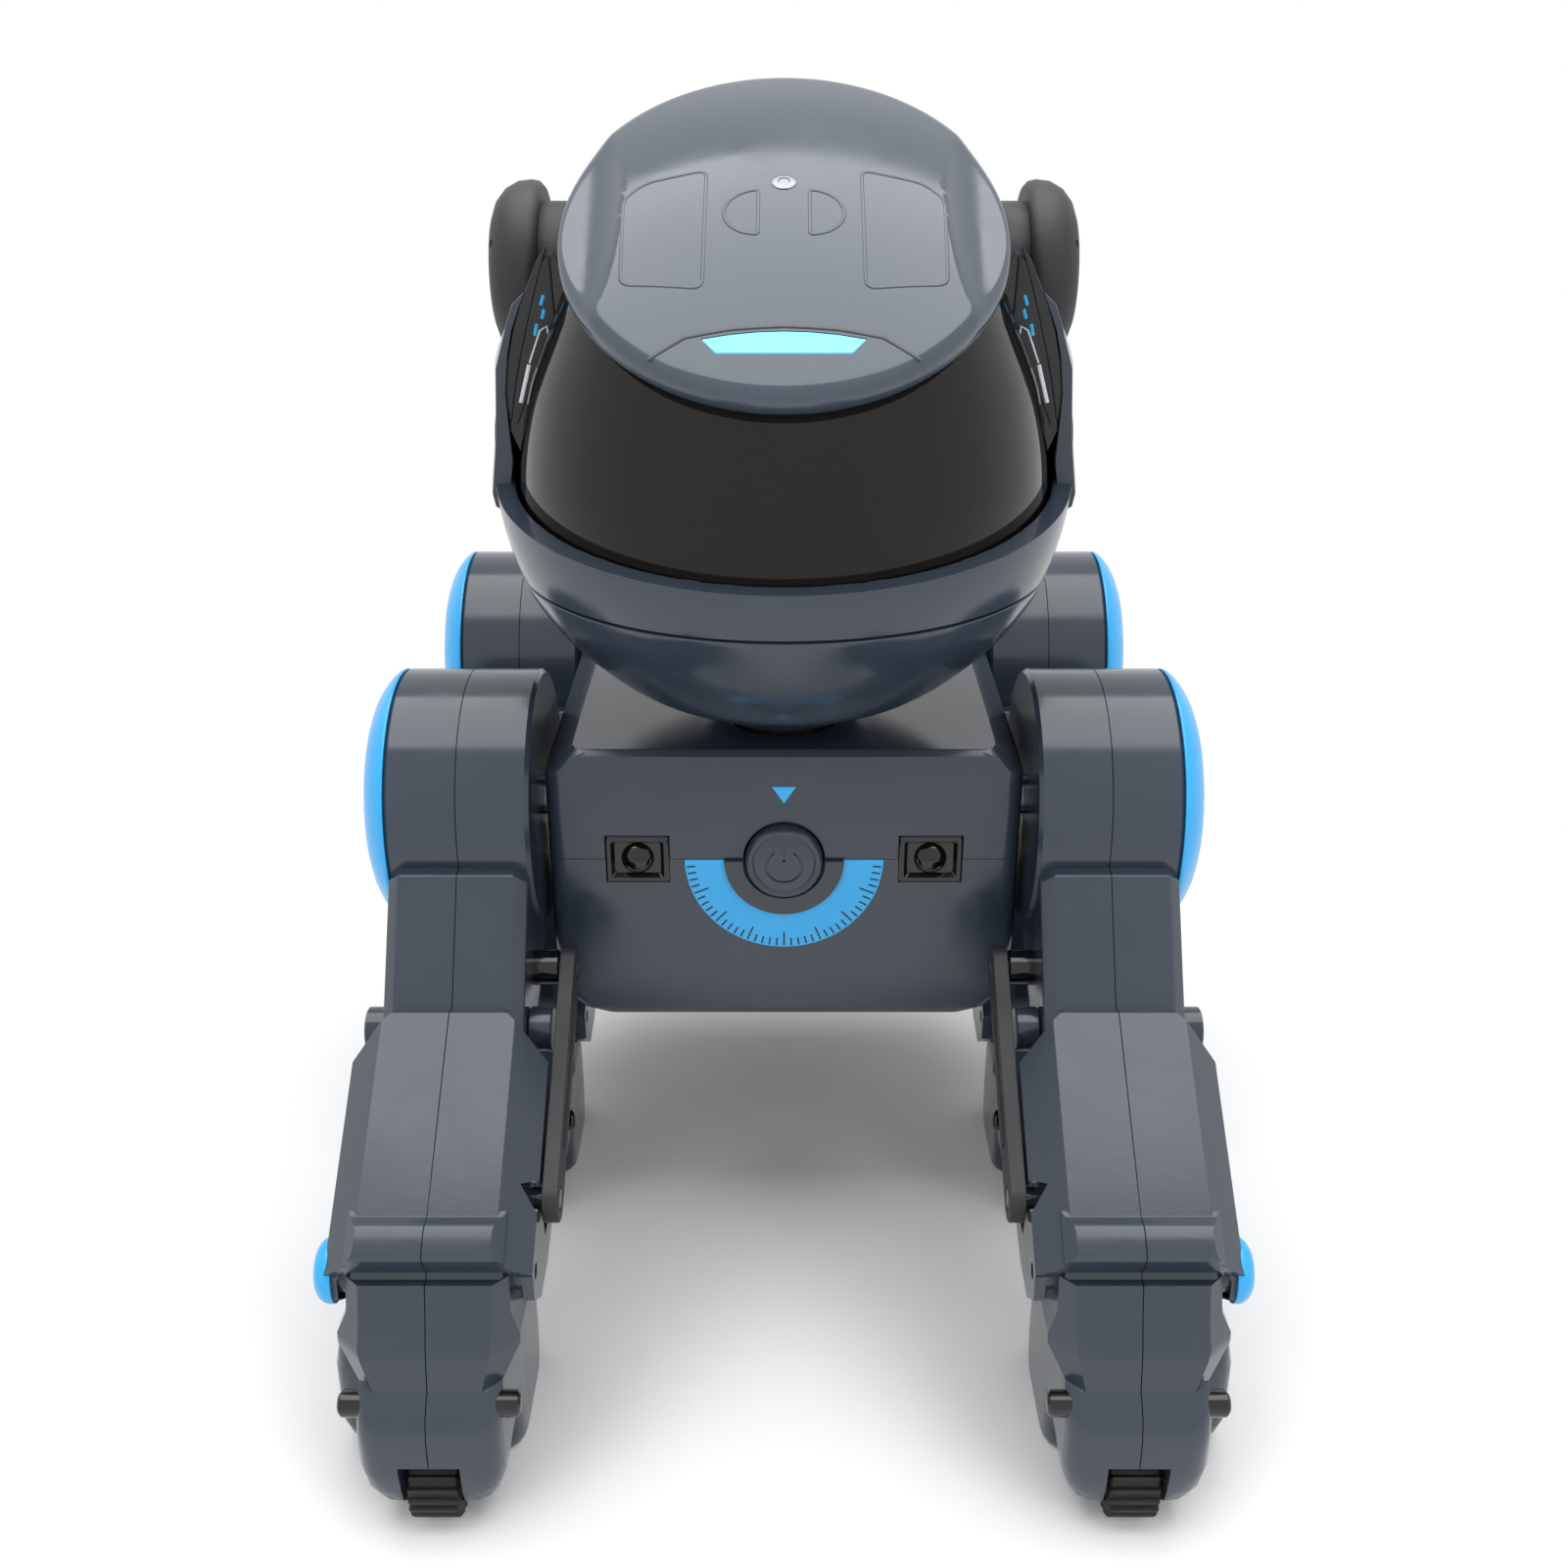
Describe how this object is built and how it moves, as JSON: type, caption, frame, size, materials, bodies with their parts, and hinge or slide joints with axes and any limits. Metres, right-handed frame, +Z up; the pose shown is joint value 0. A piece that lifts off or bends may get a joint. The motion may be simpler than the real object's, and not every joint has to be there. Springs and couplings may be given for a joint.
{
  "type": "quadruped robot dog",
  "caption": "Toy robot dog with a box body, a round turning head with a smoked visor, and jointed legs on small toe wheels.",
  "frame": {"origin": "centre of the footprint box, on the floor", "axes": "+Z up, the dog faces -Y, its left side is +X"},
  "size_m": [0.169, 0.209, 0.241],
  "materials": {
    "housing": "moulded ABS, glossy",
    "crown_housing": "moulded ABS, glossy",
    "dark_trim": "moulded ABS, satin gloss",
    "blue_trim": "moulded ABS, satin gloss",
    "light_strip": "translucent light guide",
    "smoked_visor": "smoked clear acrylic, polished",
    "black_trim": "moulded ABS, satin",
    "matte_black": "fine spark-eroded texture",
    "lens": "polished infrared filter",
    "wheel_rubber": "ribbed rubber",
    "steel": "turned steel",
    "motor_can": "plain",
    "circuit_board": "solder mask",
    "battery": "shrink wrap"
  },
  "bodies": {
    "root": {"body_upper_shell": "housing", "chest_shell": "housing", "body_lower_shell": "housing", "battery_cover": "dark_trim", "dial_ring": "blue_trim", "sensor_windows": "black_trim", "sensor_lenses": "lens", "control_board": "circuit_board", "battery_pack": "battery", "leg_motors": "motor_can", "hip_shafts": "steel"},
    "button": {"power_button": "dark_trim"},
    "head": {"neck_post": "black_trim", "head_bowl": "housing", "visor_band": "housing", "visor": "smoked_visor", "crown": "crown_housing", "crown_light": "light_strip", "touch_pads": "crown_housing", "head_rear_shell": "housing", "side_panels": "black_trim", "ears": "matte_black", "face_display": "black_trim", "speaker": "matte_black"},
    "front_left_upper": {"front_left_upper_inner_shell": "housing", "front_left_upper_outer_shell": "housing", "front_left_hip_ring": "blue_trim"},
    "front_left_shin": {"front_left_shin": "housing", "front_left_knee_cap": "blue_trim"},
    "front_left_link": {"front_left_link": "dark_trim"},
    "front_left_foot": {"front_left_foot": "housing", "front_left_foot_bumper": "matte_black"},
    "front_left_wheel": {"front_left_wheel": "wheel_rubber"},
    "front_right_upper": {"front_right_upper_inner_shell": "housing", "front_right_upper_outer_shell": "housing", "front_right_hip_ring": "blue_trim"},
    "front_right_shin": {"front_right_shin": "housing", "front_right_knee_cap": "blue_trim"},
    "front_right_link": {"front_right_link": "dark_trim"},
    "front_right_foot": {"front_right_foot": "housing", "front_right_foot_bumper": "matte_black"},
    "front_right_wheel": {"front_right_wheel": "wheel_rubber"},
    "rear_left_upper": {"rear_left_upper_inner_shell": "housing", "rear_left_upper_outer_shell": "housing", "rear_left_hip_ring": "blue_trim"},
    "rear_left_shin": {"rear_left_shin": "housing", "rear_left_knee_cap": "blue_trim"},
    "rear_left_link": {"rear_left_link": "dark_trim"},
    "rear_left_foot": {"rear_left_foot": "housing", "rear_left_foot_bumper": "matte_black"},
    "rear_left_wheel": {"rear_left_wheel": "wheel_rubber"},
    "rear_right_upper": {"rear_right_upper_inner_shell": "housing", "rear_right_upper_outer_shell": "housing", "rear_right_hip_ring": "blue_trim"},
    "rear_right_shin": {"rear_right_shin": "housing", "rear_right_knee_cap": "blue_trim"},
    "rear_right_link": {"rear_right_link": "dark_trim"},
    "rear_right_foot": {"rear_right_foot": "housing", "rear_right_foot_bumper": "matte_black"},
    "rear_right_wheel": {"rear_right_wheel": "wheel_rubber"}
  },
  "joints": [
    {"name": "head_yaw", "type": "hinge", "parent": "root", "child": "head", "pos_m": [0, 0.0015, 0.12], "axis": [0, 0, 1], "range_deg": [-30, 30]},
    {"name": "button_press", "type": "slide", "parent": "root", "child": "button", "axis": [0, 1, 0], "range_m": [0, 0.0012], "stiffness_N_per_m": 600, "springref_m": -0.0005},
    {"name": "front_left_hip", "type": "hinge", "parent": "root", "child": "front_left_upper", "pos_m": [0.063, -0.0065, 0.105], "axis": [1, 0, 0], "range_deg": [-30, 8]},
    {"name": "front_left_elbow", "type": "hinge", "parent": "front_left_upper", "child": "front_left_shin", "pos_m": [0.063, -0.0425, 0.071], "axis": [1, 0, 0], "range_deg": [0, 25]},
    {"name": "front_left_knee", "type": "hinge", "parent": "front_left_shin", "child": "front_left_foot", "pos_m": [0.063, -0.0815, 0.045], "axis": [1, 0, 0], "range_deg": [-26, 1]},
    {"name": "front_left_link_swing", "type": "hinge", "parent": "front_left_upper", "child": "front_left_link", "pos_m": [0.0426, -0.0325, 0.079], "axis": [1, 0, 0], "range_deg": [-1, 26]},
    {"name": "front_left_wheel_spin", "type": "hinge", "parent": "front_left_foot", "child": "front_left_wheel", "pos_m": [0.063, -0.0925, 0.008], "axis": [1, 0, 0], "continuous": true},
    {"name": "front_right_hip", "type": "hinge", "parent": "root", "child": "front_right_upper", "pos_m": [-0.063, -0.0065, 0.105], "axis": [1, 0, 0], "range_deg": [-30, 8]},
    {"name": "front_right_elbow", "type": "hinge", "parent": "front_right_upper", "child": "front_right_shin", "pos_m": [-0.063, -0.0425, 0.071], "axis": [1, 0, 0], "range_deg": [0, 25]},
    {"name": "front_right_knee", "type": "hinge", "parent": "front_right_shin", "child": "front_right_foot", "pos_m": [-0.063, -0.0815, 0.045], "axis": [1, 0, 0], "range_deg": [-26, 1]},
    {"name": "front_right_link_swing", "type": "hinge", "parent": "front_right_upper", "child": "front_right_link", "pos_m": [-0.0426, -0.0325, 0.079], "axis": [1, 0, 0], "range_deg": [-1, 26]},
    {"name": "front_right_wheel_spin", "type": "hinge", "parent": "front_right_foot", "child": "front_right_wheel", "pos_m": [-0.063, -0.0925, 0.008], "axis": [1, 0, 0], "continuous": true},
    {"name": "rear_left_hip", "type": "hinge", "parent": "root", "child": "rear_left_upper", "pos_m": [0.063, 0.0785, 0.105], "axis": [1, 0, 0], "range_deg": [-5, 20]},
    {"name": "rear_left_elbow", "type": "hinge", "parent": "rear_left_upper", "child": "rear_left_shin", "pos_m": [0.063, 0.0425, 0.071], "axis": [1, 0, 0], "range_deg": [0, 25]},
    {"name": "rear_left_knee", "type": "hinge", "parent": "rear_left_shin", "child": "rear_left_foot", "pos_m": [0.063, 0.0035, 0.045], "axis": [1, 0, 0], "range_deg": [-26, 1]},
    {"name": "rear_left_link_swing", "type": "hinge", "parent": "rear_left_upper", "child": "rear_left_link", "pos_m": [0.0426, 0.0525, 0.079], "axis": [1, 0, 0], "range_deg": [-1, 26]},
    {"name": "rear_left_wheel_spin", "type": "hinge", "parent": "rear_left_foot", "child": "rear_left_wheel", "pos_m": [0.063, -0.0075, 0.008], "axis": [1, 0, 0], "continuous": true},
    {"name": "rear_right_hip", "type": "hinge", "parent": "root", "child": "rear_right_upper", "pos_m": [-0.063, 0.0785, 0.105], "axis": [1, 0, 0], "range_deg": [-5, 20]},
    {"name": "rear_right_elbow", "type": "hinge", "parent": "rear_right_upper", "child": "rear_right_shin", "pos_m": [-0.063, 0.0425, 0.071], "axis": [1, 0, 0], "range_deg": [0, 25]},
    {"name": "rear_right_knee", "type": "hinge", "parent": "rear_right_shin", "child": "rear_right_foot", "pos_m": [-0.063, 0.0035, 0.045], "axis": [1, 0, 0], "range_deg": [-26, 1]},
    {"name": "rear_right_link_swing", "type": "hinge", "parent": "rear_right_upper", "child": "rear_right_link", "pos_m": [-0.0426, 0.0525, 0.079], "axis": [1, 0, 0], "range_deg": [-1, 26]},
    {"name": "rear_right_wheel_spin", "type": "hinge", "parent": "rear_right_foot", "child": "rear_right_wheel", "pos_m": [-0.063, -0.0075, 0.008], "axis": [1, 0, 0], "continuous": true}
  ],
  "couplings": [
    {"joint": "front_left_knee", "follows": "front_left_elbow", "ratio": -1},
    {"joint": "front_left_link_swing", "follows": "front_left_elbow", "ratio": 1},
    {"joint": "front_right_knee", "follows": "front_right_elbow", "ratio": -1},
    {"joint": "front_right_link_swing", "follows": "front_right_elbow", "ratio": 1},
    {"joint": "rear_left_knee", "follows": "rear_left_elbow", "ratio": -1},
    {"joint": "rear_left_link_swing", "follows": "rear_left_elbow", "ratio": 1},
    {"joint": "rear_right_knee", "follows": "rear_right_elbow", "ratio": -1},
    {"joint": "rear_right_link_swing", "follows": "rear_right_elbow", "ratio": 1}
  ]
}
